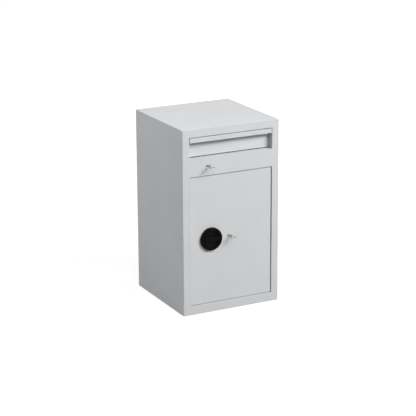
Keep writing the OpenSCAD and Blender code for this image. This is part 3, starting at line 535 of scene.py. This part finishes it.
def key(node, name):
    """Double-bit key: a flat round bow with soft edges, a necked stem with collars, and its bits."""
    low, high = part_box(node)
    x, z = (low.x + high.x) / 2, (low.z + high.z) / 2
    bow = Vector((x, low.y + BOW_R, z))
    bm = bmesh.new()
    add_lathe(bm, bow, bow_section(), Vector((0, 0, 1)), BOW_STEPS, closed=True)
    stem_y = bow.y + BOW_R - STEM_IN_BOW
    add_lathe(bm, (x, stem_y, z), stem_profile(high.y - stem_y), Vector((0, 1, 0)), SMALL_STEPS)
    bit_y = high.y - BIT_FROM_TIP
    for side in (-1, 1):
        ends = sorted((x + side * (STEM_R - BIT_ROOT), x + side * BIT_R))
        add_box(bm, (ends[0], bit_y, z - BIT_HALF_T), (ends[1], bit_y + BIT_W, z + BIT_HALF_T))
    finish_piece(name, bm, node)


# Handle. Heights run out from the door. DISH_FALL pairs shares of the dish's radius with how far
# its floor falls there, and GRIP_FLANK pairs how far the flank is hollowed with shares of its height.

ROSETTE_WALL = 9.6 * MM
ROSETTE_FOOT = 0.6 * MM
ROSETTE_CROWN_R = 3.4 * MM
ROSETTE_INNER_R = 1.6 * MM
SKIRT_H = 4.5 * MM
SKIRT_W = 1.8 * MM
SKIRT_FOOT = 0.5 * MM
SKIRT_EDGE = 0.4 * MM
KNOB_RIM_H = 10 * MM
KNOB_RIM_W = 3.4 * MM
KNOB_RIM_R = 1.3 * MM
DISH_H = 2.5 * MM
DISH_FOOT_R = 2.6 * MM
DISH_FALL = [(0.6, 0.25 * MM), (0.3, 0.4 * MM), (0, 0.45 * MM)]
GRIP_HALF_W = 10 * MM
GRIP_SOFT = 1.8 * MM
GRIP_FOOT_H = 2 * MM
GRIP_FLANK = [(0.7 * MM, 0.35), (1.2 * MM, 0.6)]
GRIP_SHOULDER = 1.4 * MM
GRIP_INTO_WALL = 1.6 * MM
GRIP_END_DROP = 0.6 * MM
GRIP_FALL = 7 * MM
GRIP_STATIONS = 28


def rosette():
    low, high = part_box("rosette")
    radius, height = (high.x - low.x) / 2, high.y - low.y
    centre = Vector(((low.x + high.x) / 2, high.y, (low.z + high.z) / 2))
    inner = radius - ROSETTE_WALL
    bm = bmesh.new()
    profile = [(inner, 0), (radius - ROSETTE_FOOT, 0), (radius, ROSETTE_FOOT)]
    profile += arc(radius - ROSETTE_CROWN_R, height - ROSETTE_CROWN_R, ROSETTE_CROWN_R, 0, 90, 7)
    profile += arc(inner + ROSETTE_INNER_R, height - ROSETTE_INNER_R, ROSETTE_INNER_R, 90, 180)
    add_lathe(bm, centre, profile, closed=True)
    finish_piece("handle_rosette", bm, "rosette")


def knob():
    """Dished turn handle: a round rim, a floor with a soft foot and a raised grip bar across it."""
    rosette_low, rosette_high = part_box("rosette")
    low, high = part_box("knob")
    centre = Vector(((rosette_low.x + rosette_high.x) / 2, high.y, (rosette_low.z + rosette_high.z) / 2))
    radius = (high.x - low.x) / 2
    rim = radius - SKIRT_W
    wall = rim - KNOB_RIM_W
    bm = bmesh.new()
    profile = [(0, 0), (radius - SKIRT_FOOT, 0), (radius, SKIRT_FOOT), (radius, SKIRT_H - SKIRT_EDGE),
               (radius - SKIRT_EDGE, SKIRT_H), (rim, SKIRT_H)]
    profile += arc(rim - KNOB_RIM_R, KNOB_RIM_H - KNOB_RIM_R, KNOB_RIM_R, 0, 90)
    profile += arc(wall + KNOB_RIM_R, KNOB_RIM_H - KNOB_RIM_R, KNOB_RIM_R, 90, 180)
    profile += arc(wall - DISH_FOOT_R, DISH_H + DISH_FOOT_R, DISH_FOOT_R, 0, -90)
    profile += [(wall * share, DISH_H - fall) for share, fall in DISH_FALL]
    add_lathe(bm, centre, profile)
    add_grip(bm, centre, wall, high.y - low.y)
    finish_piece("handle_knob", bm, "knob")


def grip_section(top):
    """Half outline of the grip, from its foot to its crown: a hollow flank and a round shoulder."""
    flank = [(GRIP_HALF_W, GRIP_FOOT_H)]
    flank += [(GRIP_HALF_W - hollow, top * share) for hollow, share in GRIP_FLANK]
    return flank + arc(GRIP_HALF_W - GRIP_SHOULDER - GRIP_SOFT, top - GRIP_SOFT, GRIP_SOFT, 0, 90)


def add_grip(bm, centre, wall, top):
    """The grip bar: its crown sinks to the rim's height at both ends."""
    reach = math.sqrt((wall + GRIP_INTO_WALL) ** 2 - GRIP_HALF_W ** 2)
    end_h = KNOB_RIM_H - GRIP_END_DROP
    rings = []
    for i in range(GRIP_STATIONS + 1):
        x = reach * math.sin((2 * i / GRIP_STATIONS - 1) * math.pi / 2)
        into_end = max(0.0, (abs(x) - (reach - GRIP_FALL)) / GRIP_FALL)
        half = grip_section(end_h + (top - end_h) * math.sqrt(max(0.0, 1 - into_end ** 2)))
        loop = half + [(-z, h) for z, h in reversed(half)]
        rings.append([bm.verts.new(centre + Vector((x, -h, z))) for z, h in loop])
    for a, b in zip(rings, rings[1:]):
        for k in range(len(a)):
            n = (k + 1) % len(a)
            bm.faces.new((a[k], a[n], b[n], b[k]))
    bm.faces.new(rings[0])
    bm.faces.new(rings[-1][::-1])


# Screws. HEAD_DOME, SOCKET_DEPTH and SOCKET_CONE are shares of the head's height.

SCREW_EDGE = 0.2 * MM
SCREW_TIP = 0.3 * MM
HEAD_H = 2.5 * MM
HEAD_DOME = 0.7
SOCKET_SHARE = 0.5
SOCKET_DEPTH = 0.7
SOCKET_CONE = 0.85
SOCKET_CORNERS = 6
SCREWS = {
    "cover_screws": {"name": "cover_button_screws", "facing": 1, "head": 4.5, "shank": 2.5},
    "drawer_lock_screws": {"name": "drawer_lock_button_screws", "facing": 1, "head": 4, "shank": 2},
    "door_lock_screws": {"name": "door_lock_button_screws", "facing": 1, "head": 4, "shank": 2},
    "rosette_screws": {"name": "rosette_button_screws", "facing": 1, "head": 4, "shank": 2},
    "bolt_screws": {"name": "bolt_button_screws", "facing": -1, "head": 5, "shank": 3},
}


def screw_profile(length, head_r, shank_r):
    """Profile of a button-head screw from its tip to the bottom of its hexagon socket."""
    seat = length - HEAD_H
    dome = HEAD_H * HEAD_DOME
    socket_r = head_r * SOCKET_SHARE
    profile = [(0, 0), (shank_r - SCREW_TIP, 0), (shank_r, SCREW_TIP), (shank_r, seat),
               (head_r - SCREW_EDGE, seat), (head_r, seat + SCREW_EDGE)]
    profile += arc(head_r - dome, seat + HEAD_H - dome, dome, 0, 90)
    profile += [(socket_r + SCREW_EDGE, length), (socket_r, length - SCREW_EDGE, SOCKET_CORNERS),
                (socket_r, length - HEAD_H * SOCKET_DEPTH, SOCKET_CORNERS),
                (0, length - HEAD_H * SOCKET_CONE)]
    return profile


def screws(node, name, facing, head, shank):
    """Screws with radii head and shank in mm, one for each solid of the node. facing is the side of
    the solid where its head is, along Y."""
    bm = bmesh.new()
    for low, high in islands(node):
        centre = ((low.x + high.x) / 2, low.y if facing > 0 else high.y, (low.z + high.z) / 2)
        profile = screw_profile(high.y - low.y, head * MM, shank * MM)
        add_lathe(bm, centre, profile, Vector((0, facing, 0)), SMALL_STEPS)
    finish_piece(name, bm, node)


# Floor, backdrop and light. The floor's glow grows between FLOOR_NEAR and FLOOR_FAR.

WHITE = (1.0, 1.0, 1.0, 1.0)
FLOOR_TONE = (0.30, 0.30, 0.30, 1.0)
FLOOR_GLOW = 0.80
FLOOR_GLOW_FAR = 1.0
FLOOR_NEAR = 1.0
FLOOR_FAR = 3.5
FLOOR_SIZE = 60.0
WORLD_STRENGTH = 0.03


def seen_directly(nodes, links):
    """1 for camera, glossy and transmission rays, and 0 for the light on surfaces."""
    path = nodes.new("ShaderNodeLightPath")
    total = path.outputs["Is Camera Ray"]
    for kind in ("Is Glossy Ray", "Is Transmission Ray"):
        add = nodes.new("ShaderNodeMath")
        add.operation = "ADD"
        add.use_clamp = True
        links.new(total, add.inputs[0])
        links.new(path.outputs[kind], add.inputs[1])
        total = add.outputs["Value"]
    return total


def floor_glow(nodes, links):
    """The floor's own glow, which grows with the distance from the object as the lamps' light fades."""
    reach = nodes.new("ShaderNodeVectorMath")
    reach.operation = "LENGTH"
    links.new(nodes.new("ShaderNodeTexCoord").outputs["Object"], reach.inputs[0])
    return spread(nodes, links, reach.outputs["Value"], FLOOR_GLOW, FLOOR_GLOW_FAR, FLOOR_NEAR, FLOOR_FAR)


def make_floor():
    """Pale floor: pure white where nothing shades it, and darker in the object's shadow."""
    material = bpy.data.materials.new("floor_white")
    material.use_nodes = True
    nodes, links = material.node_tree.nodes, material.node_tree.links
    nodes.remove(nodes["Principled BSDF"])
    diffuse = nodes.new("ShaderNodeBsdfDiffuse")
    diffuse.inputs["Color"].default_value = FLOOR_TONE
    glow = nodes.new("ShaderNodeEmission")
    glow.inputs["Color"].default_value = WHITE
    strength = nodes.new("ShaderNodeMath")
    strength.operation = "MULTIPLY"
    links.new(seen_directly(nodes, links), strength.inputs[0])
    links.new(floor_glow(nodes, links), strength.inputs[1])
    links.new(strength.outputs["Value"], glow.inputs["Strength"])
    both = nodes.new("ShaderNodeAddShader")
    links.new(diffuse.outputs["BSDF"], both.inputs[0])
    links.new(glow.outputs["Emission"], both.inputs[1])
    links.new(both.outputs["Shader"], nodes["Material Output"].inputs["Surface"])
    bm = bmesh.new()
    bmesh.ops.create_grid(bm, x_segments=1, y_segments=1, size=FLOOR_SIZE / 2)
    mesh = bpy.data.meshes.new("studio_floor")
    bm.to_mesh(mesh)
    bm.free()
    mesh.materials.append(material)
    floor = bpy.data.objects.new("studio_floor", mesh)
    bpy.context.scene.collection.objects.link(floor)


def make_world():
    world = bpy.data.worlds.new("studio")
    bpy.context.scene.world = world
    world.use_nodes = True
    nodes, links = world.node_tree.nodes, world.node_tree.links
    background = nodes["Background"]
    background.inputs["Color"].default_value = WHITE
    strength = nodes.new("ShaderNodeMapRange")
    strength.inputs["To Min"].default_value = WORLD_STRENGTH
    strength.inputs["To Max"].default_value = 1.0
    links.new(seen_directly(nodes, links), strength.inputs["Value"])
    links.new(strength.outputs["Result"], background.inputs["Strength"])


LAMPS = {
    "key_right": {"azimuth": 32, "elevation": 34, "distance": 7.0, "size": 3.2, "watts": 446},
    "fill_left": {"azimuth": -18, "elevation": 38, "distance": 7.0, "size": 1.4, "watts": 92},
    "side_left": {"azimuth": -106, "elevation": 33, "distance": 4.5, "size": 2.0, "watts": 70},
    "overhead": {"azimuth": 0, "elevation": 88, "distance": 7.0, "size": 2.6, "watts": 84},
    "rear": {"azimuth": -172, "elevation": 12, "distance": 7.0, "size": 2.6, "watts": 210},
}
AIM = Vector((0, 0, 0.42))


def make_lamp(name, azimuth, elevation, distance, size, watts):
    """Soft square lamp. Azimuth 0 is in front of the object and 90 to its right."""
    data = bpy.data.lights.new(name, "AREA")
    data.shape = "SQUARE"
    data.size = size
    data.energy = watts
    lamp = bpy.data.objects.new(name, data)
    a, e = math.radians(azimuth), math.radians(elevation)
    away = Vector((math.sin(a) * math.cos(e), -math.cos(a) * math.cos(e), math.sin(e)))
    lamp.location = AIM + away * distance
    lamp.rotation_euler = (-away).to_track_quat("-Z", "Y").to_euler()
    bpy.context.scene.collection.objects.link(lamp)


HAND_BUILT = {"outer_shell", "front_frame", "drawer_front", "rosette", "knob", "drawer_key", "door_key",
              "drawer_escutcheon", "door_escutcheon"}


def build_object():
    cabinet_skin()
    front_frame()
    drawer_front()
    rosette()
    knob()
    key("drawer_key", "drawer_key_turned")
    key("door_key", "door_key_turned")
    escutcheon("drawer_escutcheon", "drawer_key_plate")
    escutcheon("door_escutcheon", "door_key_plate")
    for node, facts in SCREWS.items():
        screws(node, **facts)
    for node in sorted(set(frame["nodes"]) - HAND_BUILT - set(SCREWS)):
        softened(node)


def build_studio():
    make_floor()
    make_world()
    for name, facts in LAMPS.items():
        make_lamp(name, **facts)
    bpy.context.scene.view_settings.view_transform = "Standard"


make_camera()
build_object()
build_studio()
